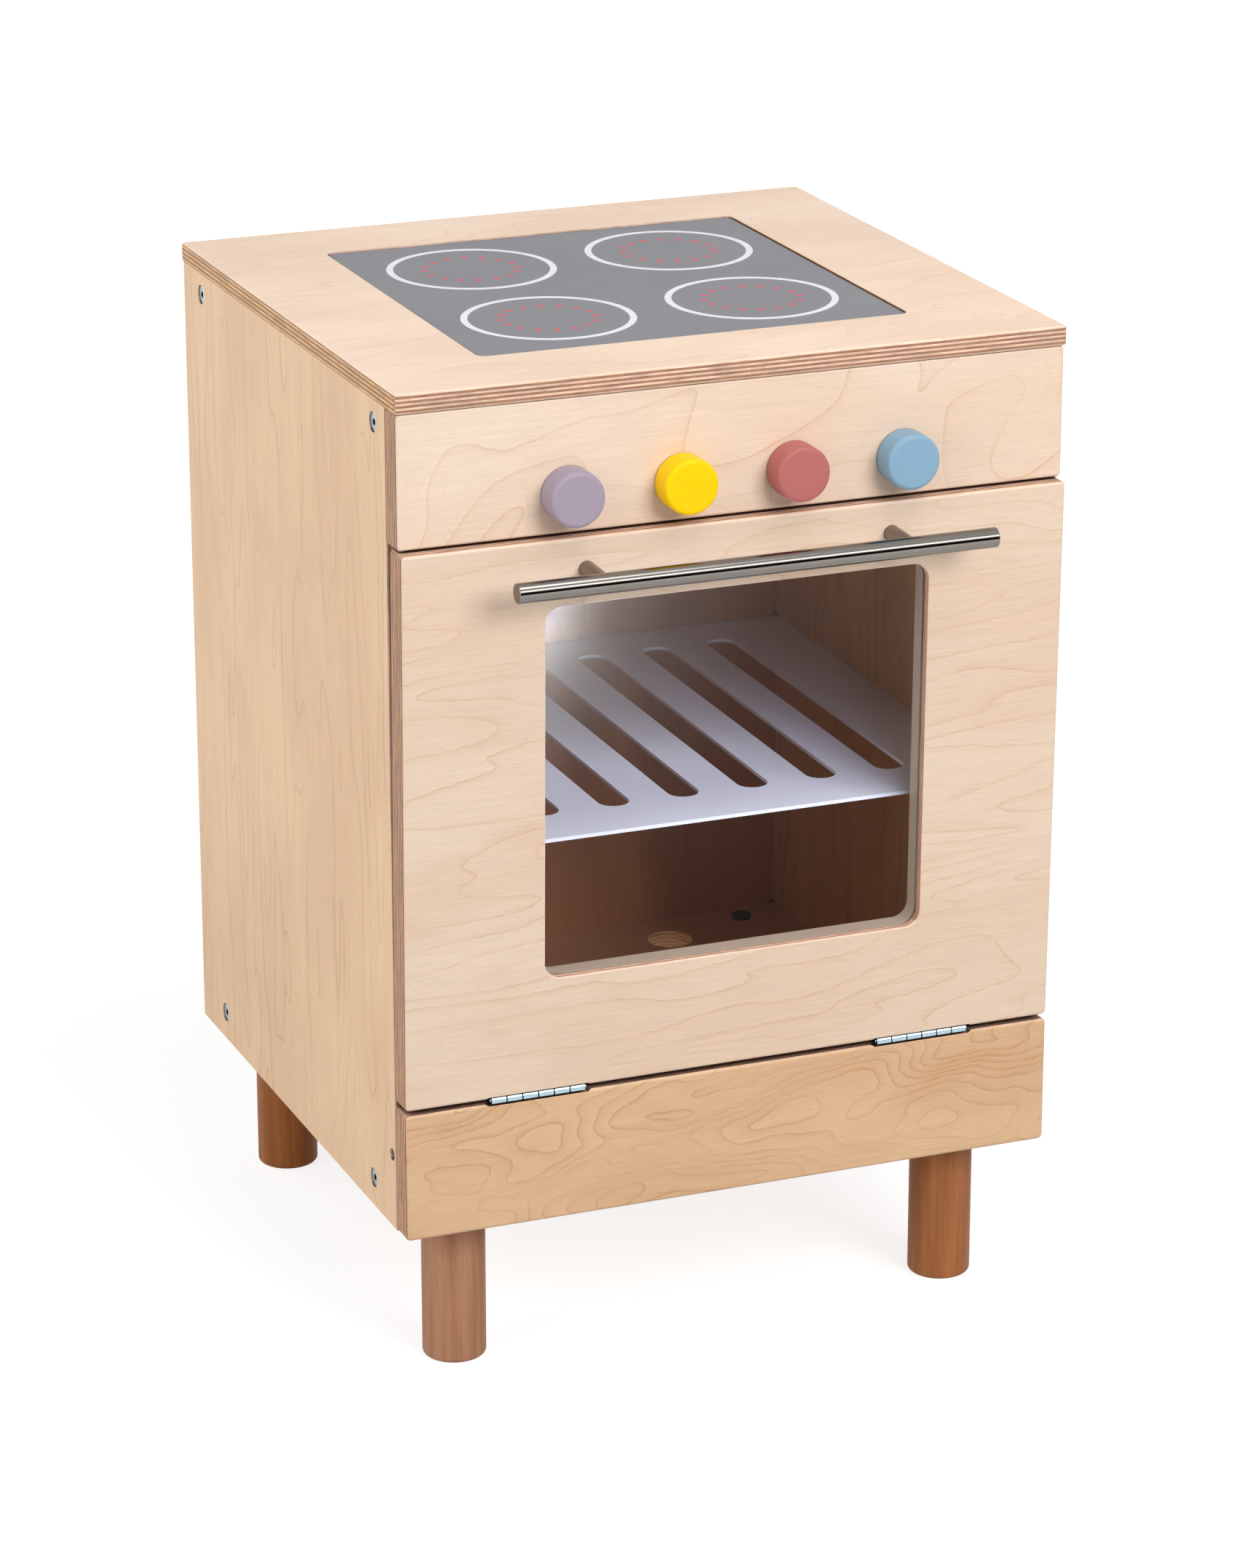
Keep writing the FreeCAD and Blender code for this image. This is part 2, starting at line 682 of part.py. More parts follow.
# Handle


def post_xs():
    return [side * POST_SPACING / 2 for side in SIDES]


def handle_rod(diameter, half):
    return rod(diameter, vec(-half, handle_y, handle_z), vec(half, handle_y, handle_z))


def handle_bar():
    half = HANDLE_LENGTH / 2
    bar = handle_rod(HANDLE_DIAMETER, half)
    bar = bar.makeFillet(HANDLE_EDGE, edges_in_plane(bar, X, -half) + edges_in_plane(bar, X, half))
    tools = [handle_rod(HANDLE_DIAMETER - 2 * HANDLE_WALL, half + CUT_OVER)]
    for x in post_xs():
        axis = vec(x, handle_y, handle_z)
        tools.append(rod(POST_SPIGOT + 2 * SCREW_FIT, axis, axis + Y * HANDLE_DIAMETER))
    return cut_all(bar, tools)


def handle_cap(side):
    end = side * HANDLE_LENGTH / 2
    start = vec(end - side * HANDLE_CAP_THICK, handle_y, handle_z)
    return rod(HANDLE_DIAMETER - 2 * (HANDLE_WALL + SCREW_FIT), start, vec(end, handle_y, handle_z))


def handle_post(x):
    """Post with a saddle end and a spigot into the bar, drilled for its screw."""
    axis = vec(x, handle_y, handle_z)
    foot = vec(x, face_y, handle_z)
    post = rod(POST_DIAMETER, foot, axis).cut(handle_rod(HANDLE_DIAMETER + 2 * SCREW_FIT, HANDLE_LENGTH))
    post = post.fuse(rod(POST_SPIGOT, foot, axis)).removeSplitter()
    return post.cut(rod(HANDLE_SCREW + 2 * SCREW_FIT, foot + Y * CUT_OVER, foot - Y * HANDLE_SCREW_BITE))


def handle_screw(x):
    length = FRONT_THICK + HANDLE_SCREW_BITE - SCREW_FIT
    body = stepped(HANDLE_SCREW_HEAD, 0, HANDLE_SCREW, length, HANDLE_SCREW_HEAD_HEIGHT, 0)
    return put(body, vec(x, carcass_front_y, handle_z), Y)


# Hinges


def leaf_plate_start():
    return KNUCKLE_DIAMETER / 2 + LEAF_CLEAR


def knuckle(side, low, high):
    """Hinge barrel piece with eased ends, between two distances from the hinge's middle."""
    radius = KNUCKLE_DIAMETER / 2
    slim = radius - KNUCKLE_EASE
    ends = [(slim, high), (0, high), (0, low), (slim, low)]
    body = turned(ends + [(radius, low + KNUCKLE_EASE), (radius, high - KNUCKLE_EASE)])
    return put(body, vec(side * hinge_x, hinge_y, hinge_z), X)


def hinge_rod(side, diameter, low, high):
    """Round piece on a hinge's axis, between two distances from the hinge's middle."""
    mid = side * hinge_x
    return rod(diameter, vec(mid + low, hinge_y, hinge_z), vec(mid + high, hinge_y, hinge_z))


def hinge_leaf(side, up):
    """Flat leaf with every other knuckle: up is 1 for the door's leaf and -1 for the plinth's."""
    mid = side * hinge_x
    half = HINGE_LENGTH / 2
    seat = hinge_z + up * FRONT_JOINT / 2
    z = sorted((seat, seat - up * LEAF_THICK))
    plate_y = hinge_y + leaf_plate_start()
    leaf = block((mid - half, mid + half), (plate_y, hinge_y + LEAF_REACH), z)
    pitch = HINGE_LENGTH / KNUCKLE_COUNT
    for number in range(0 if up > 0 else 1, KNUCKLE_COUNT, 2):
        low = number * pitch - half + KNUCKLE_PLAY / 2
        high = low + pitch - KNUCKLE_PLAY
        tongue = block((mid + low, mid + high), (hinge_y, plate_y), z)
        leaf = leaf.fuse([tongue, knuckle(side, low, high)])
    tools = [hinge_rod(side, HINGE_PIN + 2 * RUN_FIT, -half - CUT_OVER, half + CUT_OVER)]
    return cut_all(leaf.removeSplitter(), tools + hinge_bores(-up))


def hinge_pin(side):
    half = HINGE_LENGTH / 2 + HINGE_PIN_END
    return hinge_rod(side, HINGE_PIN, -half, half)


# Knobs


def knob(x):
    back = vec(x, face_y - RUN_GAP, knob_z)
    front = back - Y * KNOB_HEIGHT
    body = rod(KNOB_DIAMETER, back, front)
    body = body.makeFillet(KNOB_FRONT_ROUND, edges_in_plane(body, Y, front.y))
    body = body.makeFillet(KNOB_BACK_ROUND, edges_in_plane(body, Y, back.y))
    return body.cut(rod(SPINDLE + 2 * SCREW_FIT, back + Y * CUT_OVER, back - Y * SPINDLE_GRIP))


def knob_spindle(x):
    start = vec(x, face_y - RUN_GAP - SPINDLE_GRIP, knob_z)
    end_y = carcass_front_y + RUN_GAP + WASHER_THICK + NUT_HEIGHT + SPINDLE_END
    return rod(SPINDLE, start, vec(x, end_y, knob_z))


def knob_nut(x):
    """Washer and lock nut behind the control panel."""
    seat = vec(x, carcass_front_y + RUN_GAP, knob_z)
    washer = rod(WASHER_DIAMETER, seat, seat + Y * WASHER_THICK)
    nut = put(hexagon(NUT_ACROSS, NUT_HEIGHT), seat + Y * (WASHER_THICK + NUT_HEIGHT), Y)
    end = seat + Y * (WASHER_THICK + NUT_HEIGHT + CUT_OVER)
    hole = rod(SPINDLE + 2 * SCREW_FIT, seat - Y * CUT_OVER, end)
    return Part.makeCompound([washer.cut(hole), nut.cut(hole)])


def group(make, length, places):
    return Part.makeCompound(placed(make, length, places))


def set_out(shape, places):
    return Part.makeCompound([put(shape, point, outward) for point, outward in places])


def both_sides(places):
    return [place for side in SIDES for place in places(side)]


def shut_on_magnets(shape):
    """Swings a door piece about the hinge axis, from flush with the front to where the magnets hold it."""
    swung = shape.copy()
    swung.rotate(vec(0, hinge_y, hinge_z), X, math.degrees(ajar))
    return swung


pieces = {
    "worktop": worktop(),
    "hob_plate": hob_plate(),
    "left_side_panel": side_panel(-1),
    "right_side_panel": side_panel(1),
    "back_panel": back_panel(),
    "floor_panel": floor_panel(),
    "upper_front_batten": batten((carcass_front_y, carcass_front_y + BATTEN_WIDTH)),
    "upper_back_batten": batten((back_inner_y - BATTEN_WIDTH, back_inner_y)),
    "plinth_rail": plinth_rail(),
    "plinth_panel": plinth_panel(),
    "control_panel": control_panel(),
    "oven_shelf": oven_shelf(),
    "leg_bolts": set_out(leg_bolt(), [(vec(x, y, floor_z), Z) for x, y in leg_places().values()]),
    "side_screws": group(side_screw, side_screw_length, both_sides(side_screw_places)),
    "back_screws": group(side_screw, back_screw_length, back_screw_places()),
    "rail_screws": group(wood_screw, rail_screw_length, both_sides(rail_screw_places)),
    "plinth_screws": group(wood_screw, plinth_screw_length, plinth_screw_places()),
    "control_panel_screws": group(wood_screw, control_screw_length, control_screw_places()),
    "worktop_screws": group(wood_screw, worktop_screw_length, worktop_screw_places()),
    "door_magnets": Part.makeCompound([magnet(side) for side in SIDES]),
    "plinth_hinge_screws": set_out(hinge_screw(), hinge_screw_places(1)),
}
for name, (leg_x, leg_y) in leg_places().items():
    pieces[name + "_leg"] = leg(leg_x, leg_y)

door_pieces = {
    "door_panel": door_panel(),
    "window_pane": window_pane(),
    "pane_frame": pane_frame(),
    "pane_clips": set_out(pane_clip(), clip_places()),
    "strike_discs": set_out(strike_disc(), strike_places()),
    "handle_bar": handle_bar(),
    "handle_caps": Part.makeCompound([handle_cap(side) for side in SIDES]),
    "handle_posts": Part.makeCompound([handle_post(x) for x in post_xs()]),
    "handle_screws": Part.makeCompound([handle_screw(x) for x in post_xs()]),
    "door_hinge_screws": set_out(hinge_screw(), hinge_screw_places(-1)),
}
for name, side in (("left", -1), ("right", 1)):
    door_pieces[name + "_hinge_door_leaf"] = hinge_leaf(side, 1)
    pieces[name + "_hinge_plinth_leaf"] = hinge_leaf(side, -1)
    pieces[name + "_hinge_pin"] = hinge_pin(side)
for name, shape in door_pieces.items():
    pieces[name] = shut_on_magnets(shape)

for colour, knob_x in zip(KNOB_COLOURS, knob_xs()):
    pieces[colour + "_knob"] = knob(knob_x)
    pieces[colour + "_knob_spindle"] = knob_spindle(knob_x)
    pieces[colour + "_knob_nut"] = knob_nut(knob_x)

os.makedirs("parts", exist_ok=True)
for name, shape in pieces.items():
    Part.makeCompound(shape.Solids).exportStep("parts/" + name + ".step")
    print(name, len(shape.Solids), "solids")
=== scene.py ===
import math
from collections import namedtuple

import bmesh
import bpy
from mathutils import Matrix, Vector


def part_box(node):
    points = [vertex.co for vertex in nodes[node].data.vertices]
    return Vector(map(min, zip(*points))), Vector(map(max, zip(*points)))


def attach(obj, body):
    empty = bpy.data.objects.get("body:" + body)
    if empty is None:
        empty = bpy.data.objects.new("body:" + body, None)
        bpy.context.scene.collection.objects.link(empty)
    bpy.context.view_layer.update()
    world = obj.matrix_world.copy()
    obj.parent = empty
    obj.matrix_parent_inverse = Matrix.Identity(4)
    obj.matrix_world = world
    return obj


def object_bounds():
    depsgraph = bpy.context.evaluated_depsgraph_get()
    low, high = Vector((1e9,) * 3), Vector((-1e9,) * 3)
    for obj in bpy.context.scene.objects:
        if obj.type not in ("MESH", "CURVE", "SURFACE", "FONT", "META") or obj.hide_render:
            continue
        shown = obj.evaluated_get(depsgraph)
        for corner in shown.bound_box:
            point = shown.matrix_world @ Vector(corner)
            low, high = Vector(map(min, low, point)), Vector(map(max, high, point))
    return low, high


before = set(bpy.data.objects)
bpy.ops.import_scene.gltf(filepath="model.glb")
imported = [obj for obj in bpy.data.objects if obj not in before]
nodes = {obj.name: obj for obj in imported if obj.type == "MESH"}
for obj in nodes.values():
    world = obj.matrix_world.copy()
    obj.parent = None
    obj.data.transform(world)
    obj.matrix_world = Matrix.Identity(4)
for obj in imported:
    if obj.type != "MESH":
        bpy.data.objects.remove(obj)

# Looks of a toy stove of varnished birch plywood. The frame's nodes keep their shape and get their finish
# here, the hob gets its print, and the stage has a pale floor, soft lamps and a camera. All lengths are in
# metres.

cad_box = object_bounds()
MM = 0.001

ALONG_X = Vector((1, 0, 0))
ALONG_Y = Vector((0, 1, 0))
ALONG_Z = Vector((0, 0, 1))


def srgb(red, green, blue):
    """Linear colour of an sRGB triple from 0 to 255."""
    channels = []
    for level in (red, green, blue):
        share = level / 255
        channels.append(share / 12.92 if share <= 0.04045 else ((share + 0.055) / 1.055) ** 2.4)
    return (*channels, 1.0)


# Node trees

# Painted shade in narrow joints, pockets and recesses: how far it looks for nearby surfaces, its rays, the
# openness at which it starts and ends, its least brightness and the dark brown that wood turns to.
PAINTED_SHADE_REACH = 7.0 * MM
PAINTED_SHADE_SAMPLES = 8
PAINTED_SHADE_SHUT, PAINTED_SHADE_OPEN = 0.20, 0.54
PAINTED_SHADE_LEAST = 0.05
PAINTED_SHADE_BROWN = srgb(54, 17, 11)


class Graph:
    """Node tree of a material or of the world, with short calls that add nodes and link them."""

    def __init__(self, owner, output_kind="OutputMaterial"):
        owner.use_nodes = True
        self.owner = owner
        self.tree = owner.node_tree
        self.tree.nodes.clear()
        self.output = self.tree.nodes.new("ShaderNode" + output_kind)

    def feed(self, socket, value):
        """Links an output to a socket, or sets the socket to a plain value."""
        if isinstance(value, bpy.types.NodeSocket):
            self.tree.links.new(value, socket)
        else:
            socket.default_value = value

    def add(self, kind, inputs, **settings):
        made = self.tree.nodes.new("ShaderNode" + kind)
        for key, value in settings.items():
            setattr(made, key, value)
        for key, value in inputs.items():
            self.feed(made.inputs[key], value)
        return made

    def math(self, operation, *values):
        return self.add("Math", dict(enumerate(values)), operation=operation).outputs[0]

    def place(self):
        return self.add("TexCoord", {}).outputs["Object"]

    def facing(self):
        return self.add("TexCoord", {}).outputs["Normal"]

    def along(self, vector, direction):
        """How far a vector reaches along a direction."""
        made = self.add("VectorMath", {0: vector, 1: direction}, operation="DOT_PRODUCT")
        return made.outputs["Value"]

    def point(self, x, y, z):
        return self.add("CombineXYZ", {0: x, 1: y, 2: z}).outputs[0]

    def scaled(self, value, scale):
        return self.math("MULTIPLY", value, scale)

    def zoomed(self, vector, scale):
        return self.add("VectorMath", {0: vector, "Scale": scale}, operation="SCALE").outputs[0]

    def noise(self, point, detail=2.0, roughness=0.5):
        inputs = {"Vector": point, "Scale": 1.0, "Detail": detail, "Roughness": roughness}
        return self.add("TexNoise", inputs).outputs[0]

    def flat_noise(self, u, v, scales, seed, detail=2.0, roughness=0.5):
        """Noise over a face, stretched by its two scales."""
        point = self.point(self.scaled(u, scales[0]), self.scaled(v, scales[1]), seed)
        return self.noise(point, detail, roughness)

    def remap(self, value, low, high, to_low=0.0, to_high=1.0, ease="SMOOTHSTEP"):
        inputs = {"Value": value, "From Min": low, "From Max": high, "To Min": to_low, "To Max": to_high}
        return self.add("MapRange", inputs, interpolation_type=ease).outputs[0]

    def blend(self, share, first, second, kind="MIX"):
        """Mix of two colours."""
        made = self.add("Mix", {}, data_type="RGBA", blend_type=kind)
        for socket, value in ((made.inputs[0], share), (made.inputs[6], first), (made.inputs[7], second)):
            self.feed(socket, value)
        return made.outputs[2]

    def shade(self, colour, share):
        """A colour times a brightness that is near 1."""
        level = self.add("CombineColor", {0: share, 1: share, 2: share}).outputs[0]
        return self.blend(1.0, colour, level, "MULTIPLY")

    def painted_nook_shade(self):
        """Painted shade: brightness that falls off in narrow joints, pockets and recesses."""
        clear = self.add("AmbientOcclusion", {"Distance": PAINTED_SHADE_REACH}, samples=PAINTED_SHADE_SAMPLES).outputs["AO"]
        return self.remap(clear, PAINTED_SHADE_SHUT, PAINTED_SHADE_OPEN, PAINTED_SHADE_LEAST, 1.0)

    def bump(self, height, strength, depth):
        inputs = {"Height": height, "Strength": strength, "Distance": depth}
        return self.add("Bump", inputs).outputs[0]

    def end(self, shader):
        """Ends the tree with a shader and gives back the tree's owner."""
        self.tree.links.new(shader.outputs[0], self.output.inputs["Surface"])
        return self.owner

    def surface(self, inputs):
        """Ends the tree with one Principled shader."""
        return self.end(self.add("BsdfPrincipled", inputs))


def new_material(name):
    return Graph(bpy.data.materials.new(name))


def dress(material, *names):
    for name in names:
        mesh = nodes[name].data
        mesh.materials.clear()
        mesh.materials.append(material)


# Wood

# A veneer has the direction of its grain, its tone and the tone of its lines, how often its relief swells
# in a metre along and across the grain, the lines over the whole relief, the darkness of a line and of its
# soft side, the seed of its noise and the lean of its figure in degrees.
Veneer = namedtuple("Veneer", "grain pale line along across rings depth shade seed tilt")

# Scales of noise over a face count swells in a metre, along and across the grain.
FRAY_SCALES = 85.0, 340.0
FADE_SCALES = 9.0, 30.0
FADE_SEED_STEP = 5.0
FADE_LEAST = 0.25
FIBRE_SCALES = 35.0, 1500.0
FIBRE_SPAN = 0.89, 1.07
FLECK_SCALES = 170.0, 2600.0
FLECK_SHADE = 0.87
PATCH_SCALES = 7.0, 16.0
FRAY_WIDTH = 3.0 * MM
SLOPE_STEP = 1.0 * MM
LEAST_SLOPE = 6.0
LINE_WIDTH = 0.7 * MM
SOFT_WIDTH = 3.6 * MM
FINE_LINES = 3.0
FINE_SHARE = 0.34
PATCH_SHARE = 0.20

# Edges of boards: light and dark layers, with glue lines between them.
PLY_LAYER = 1.4 * MM
RIPPLE_SCALES = 14.0, 14.0
RIPPLE_SHARE = 0.08
LAYER_SCALE, LAYER_STEP = 45.0, 3.7
LAYER_SPAN = 0.72, 1.14
GRIT_SCALE, GRIT_STEP = 1400.0, 2.0
GRIT_SPAN = 0.93, 1.05
GLUE_SHARE = 0.13
GLUE_SHADE = 0.66

# Tones of the light and the dark layers, on edges along the grain and on edges across its ends.
PLY_ALONG = srgb(228, 192, 168), srgb(162, 117, 90)
PLY_END = srgb(212, 166, 130), srgb(144, 99, 72)
PLY_GOLD = srgb(232, 188, 140), srgb(166, 118, 76)
# Painted light: pale tones for the floor panel's edges and the walls of its hole, the same for light and dark
# layers, standing in for light that comes up through the hole.
PLY_PAINTED_LIGHT = srgb(255, 208, 152), srgb(232, 172, 116)
EDGE_TONES = {"worktop": (PLY_ALONG, PLY_GOLD), "floor_panel": (PLY_PAINTED_LIGHT, PLY_PAINTED_LIGHT)}
# Boards left without the painted shade of joints, so that the floor panel's hole stays light.
BOARDS_WITHOUT_PAINTED_SHADE = ("floor_panel",)
LIPPED_BOARDS = {"door_panel": "window_pane"}
# Painted shade on the upright edges of a board's window: the brightness they keep.
LIP_PAINTED_SHADE = 0.6
# Painted shade: the back panel's tone in BOARDS is darker, standing in for the shade inside the stove; its
# rear face, outside, has this lighter tone.
REAR_FACES = {"back_panel": srgb(234, 196, 154)}

# Timber: scales of noise count swells in a metre across and along the grain.
BAND_SCALES = 110.0, 5.0
STREAK_SCALES = 900.0, 22.0
STREAK_SPAN = 0.88, 1.08
RAY_SCALES = 1500.0, 260.0
RAY_SHADE = 0.84


def flat_normal(name):
    """Normal of a board's largest face."""
    return max(nodes[name].data.polygons, key=lambda face: face.area).normal.copy()


def contour_lines(g, u, v, look):
    """Darkening at the contour lines of a gentle relief, with fainter lines between: sharp on one side of a
    line and soft on the other."""
    turn = math.radians(look.tilt)
    fray = g.flat_noise(u, v, FRAY_SCALES, look.seed)
    frayed_v = g.math("MULTIPLY_ADD", fray, FRAY_WIDTH, v)

    def relief(step_u, step_v):
        here_u, here_v = g.math("ADD", u, step_u), g.math("ADD", frayed_v, step_v)
        lean_u = g.math("MULTIPLY_ADD", here_v, math.sin(turn), g.scaled(here_u, math.cos(turn)))
        lean_v = g.math("MULTIPLY_ADD", here_u, -math.sin(turn), g.scaled(here_v, math.cos(turn)))
        spot = g.point(g.scaled(lean_u, look.along), g.scaled(lean_v, look.across), look.seed)
        return g.scaled(g.noise(spot, detail=2.0, roughness=0.45), look.rings)

    height = relief(0.0, 0.0)
    rise_u = g.math("SUBTRACT", relief(SLOPE_STEP, 0.0), height)
    rise_v = g.math("SUBTRACT", relief(0.0, SLOPE_STEP), height)
    squares = g.math("MULTIPLY_ADD", rise_u, rise_u, g.math("MULTIPLY", rise_v, rise_v))
    slope = g.math("ADD", g.scaled(g.math("SQRT", squares), 1 / SLOPE_STEP), LEAST_SLOPE)

    def to_line(times):
        left = g.math("SUBTRACT", 1.0, g.math("FRACT", g.scaled(height, times)))
        return g.math("DIVIDE", left, g.scaled(slope, times))

    line = g.math("EXPONENT", g.scaled(to_line(1.0), -1 / LINE_WIDTH))
    soft = g.math("EXPONENT", g.scaled(to_line(1.0), -1 / SOFT_WIDTH))
    fine = g.math("EXPONENT", g.scaled(to_line(FINE_LINES), -1 / LINE_WIDTH))
    fade = g.flat_noise(u, v, FADE_SCALES, look.seed + FADE_SEED_STEP, detail=1.0)
    shown = g.remap(fade, 0.36, 0.64, FADE_LEAST, 1.0)
    line, soft = g.math("MULTIPLY", line, shown), g.math("MULTIPLY", soft, shown)
    fine = g.math("MULTIPLY", fine, g.remap(fade, 0.34, 0.60, FINE_SHARE, 0.0))
    return g.math("ADD", line, fine), soft


def veneer_colour(g, u, v, look):
    """Rotary-cut birch: thin contour lines with a soft side, fine fibres and faint patches."""
    line, soft = contour_lines(g, u, v, look)
    darkness = g.math("MULTIPLY_ADD", line, look.depth, g.scaled(soft, look.shade))
    colour = g.blend(darkness, look.pale, look.line)
    fibre = g.flat_noise(u, v, FIBRE_SCALES, look.seed, detail=3.0, roughness=0.6)
    fleck = g.flat_noise(u, v, FLECK_SCALES, look.seed, detail=1.0)
    patch = g.flat_noise(u, v, PATCH_SCALES, look.seed)
    colour = g.blend(g.remap(patch, 0.3, 0.7, PATCH_SHARE, 0.0), colour, look.line)
    colour = g.shade(colour, g.remap(fibre, 0.2, 0.8, *FIBRE_SPAN, "LINEAR"))
    colour = g.shade(colour, g.remap(fleck, 0.62, 0.8, 1.0, FLECK_SHADE))
    return colour, fibre


def painted_lip_shade(g, place, end, pane):
    """Painted shade: brightness of a window's upright edges, which are darkened."""
    low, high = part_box(pane)
    middle, half = (low + high) / 2, (high - low) / 2
    beside = g.math("COMPARE", g.along(place, ALONG_X), middle.x, half.x)
    level = g.math("COMPARE", g.along(place, ALONG_Z), middle.z, half.z)
    upright = g.math("MULTIPLY", end, g.math("MULTIPLY", beside, level))
    return g.remap(upright, 0.0, 1.0, 1.0, LIP_PAINTED_SHADE, "LINEAR")


def plywood(name, look):
    """Board with a figured face veneer, whose edges show its layers."""
    g = new_material(name + "_plywood")
    grain, thick = look.grain, flat_normal(name)
    across = thick.cross(grain).normalized()
    levels = [vertex.co.dot(thick) for vertex in nodes[name].data.vertices]
    low, high = min(levels), max(levels)
    half_count = round(((high - low) / PLY_LAYER - 1) / 2)
    layers = 2 * half_count + 1
    place, facing = g.place(), g.facing()
    u, v = g.along(place, grain), g.along(place, across)
    # Painted shade: a board in REAR_FACES keeps a darker tone on its inner face and gets its lighter tone on
    # its rear face.
    if name in REAR_FACES:
        rear = g.remap(g.along(facing, ALONG_Y), 0.5, 0.75)
        look = look._replace(pale=g.blend(rear, look.pale, REAR_FACES[name]))
    face, fibre = veneer_colour(g, u, v, look)
    ripple = g.flat_noise(u, v, RIPPLE_SCALES, look.seed)
    depth = g.remap(g.along(place, thick), low, high, 0.0, float(layers), "LINEAR")
    depth = g.math("ADD", depth, g.remap(ripple, 0.2, 0.8, -RIPPLE_SHARE, RIPPLE_SHARE, "LINEAR"))
    layer = g.math("FLOOR", depth)
    odd = g.math("MODULO", g.math("ABSOLUTE", layer), 2.0)
    end = g.math("GREATER_THAN", g.math("ABSOLUTE", g.along(facing, grain)), 0.7)
    dark = g.math("ABSOLUTE", g.math("SUBTRACT", odd, end))
    scales = LAYER_SCALE, LAYER_SCALE
    streak = g.flat_noise(u, v, scales, g.scaled(layer, LAYER_STEP), detail=4.0, roughness=0.62)
    grit = g.flat_noise(u, v, (GRIT_SCALE, GRIT_SCALE), g.scaled(depth, GRIT_STEP), detail=1.0)
    along_tones, end_tones = EDGE_TONES.get(name, (PLY_ALONG, PLY_END))
    edge = g.blend(end, g.blend(dark, *along_tones), g.blend(dark, *end_tones))
    edge = g.shade(edge, g.remap(streak, 0.36, 0.64, *LAYER_SPAN, "LINEAR"))
    edge = g.shade(edge, g.remap(grit, 0.3, 0.7, *GRIT_SPAN, "LINEAR"))
    glue = g.math("PINGPONG", depth, 0.5)
    edge = g.shade(edge, g.remap(glue, 0.0, GLUE_SHARE, GLUE_SHADE, 1.0))
    on_face = g.remap(g.math("ABSOLUTE", g.along(facing, thick)), 0.5, 0.75)
    # Painted shade on the upright edges of the board's window.
    if name in LIPPED_BOARDS:
        edge = g.shade(edge, painted_lip_shade(g, place, end, LIPPED_BOARDS[name]))
    colour = g.blend(on_face, edge, face)
    # Painted shade: wood darkens towards a dark brown in joints, pockets and recesses, except on the boards
    # listed as without it.
    if name not in BOARDS_WITHOUT_PAINTED_SHADE:
        colour = g.blend(g.painted_nook_shade(), PAINTED_SHADE_BROWN, colour)
    rough = g.math("ADD", g.scaled(fibre, 0.16), g.remap(on_face, 0.0, 1.0, 0.52, 0.36, "LINEAR"))
    return g.surface({
        "Base Color": colour,
        "Roughness": rough,
        "Specular IOR Level": 0.4,
        "Normal": g.bump(fibre, 0.12, 0.2 * MM),
    })


def solid_wood(name, grain, pale, deep, seed):
    """Plain timber with fine streaks along the grain."""
    g = new_material(name)
    place = g.place()
    ends = [axis for axis in (ALONG_X, ALONG_Y, ALONG_Z) if abs(axis.dot(grain)) < 0.5]
    u = g.along(place, grain)
    p, q = g.along(place, ends[0]), g.along(place, ends[1])

    def timber_noise(scales, start, **settings):
        across, along = scales
        height = g.math("ADD", g.scaled(u, along), start)
        return g.noise(g.point(g.scaled(p, across), g.scaled(q, across), height), **settings)

    band = timber_noise(BAND_SCALES, seed, detail=3.0, roughness=0.6)
    streak = timber_noise(STREAK_SCALES, 0.0, roughness=0.6)
    fleck = timber_noise(RAY_SCALES, 0.0, detail=1.0)
    colour = g.blend(g.remap(band, 0.3, 0.7), pale, deep)
    colour = g.shade(colour, g.remap(streak, 0.25, 0.75, *STREAK_SPAN, "LINEAR"))
    colour = g.shade(colour, g.remap(fleck, 0.62, 0.74, 1.0, RAY_SHADE))
    return g.surface({
        "Base Color": colour,
        "Roughness": g.remap(streak, 0.2, 0.8, 0.46, 0.62, "LINEAR"),
        "Specular IOR Level": 0.3,
        "Normal": g.bump(streak, 0.15, 0.2 * MM),
    })


# Other finishes

KNUCKLE_COUNT = 6
KNUCKLE_LINE = 0.5 * MM
KNUCKLE_LINE_SHADE = 0.04
FINE_GRAIN, BROAD_PATCH = 900.0, 18.0
BRUSH_SCALE, SMUDGE_SCALE = 5200.0, 60.0
BRUSH_SPAN, SMUDGE_SPAN = (0.93, 1.05), (0.95, 1.04)
CLOUD_SCALE, PLATING_GRAIN = 260.0, 2400.0
SMEAR_SCALE = 9.0
PANE_ROUGHNESS = 0.12, 0.15
PANE_CLEAR = srgb(250, 250, 250)
PANE_GLOSS_INDEX = 1.12


def mottled(name, colour, variation, rough, bump_depth, inputs=None):
    """Plain coloured surface with faint patches, a fine grain and an uneven gloss."""
    g = new_material(name)
    place = g.place()
    grain = g.noise(g.zoomed(place, FINE_GRAIN))
    patch = g.noise(g.zoomed(place, BROAD_PATCH), detail=3.0)
    shown = g.shade(colour, g.remap(patch, 0.25, 0.75, 1 - variation, 1 + variation, "LINEAR"))
    shown = g.shade(shown, g.remap(grain, 0.25, 0.75, 1 - variation, 1 + variation, "LINEAR"))
    made = {
        "Base Color": shown,
        "Roughness": g.remap(patch, 0.2, 0.8, rough - 0.05, rough + 0.05, "LINEAR"),
        "Normal": g.bump(grain, 0.2, bump_depth),
    }
    made.update(inputs or {})
    return g.surface(made)


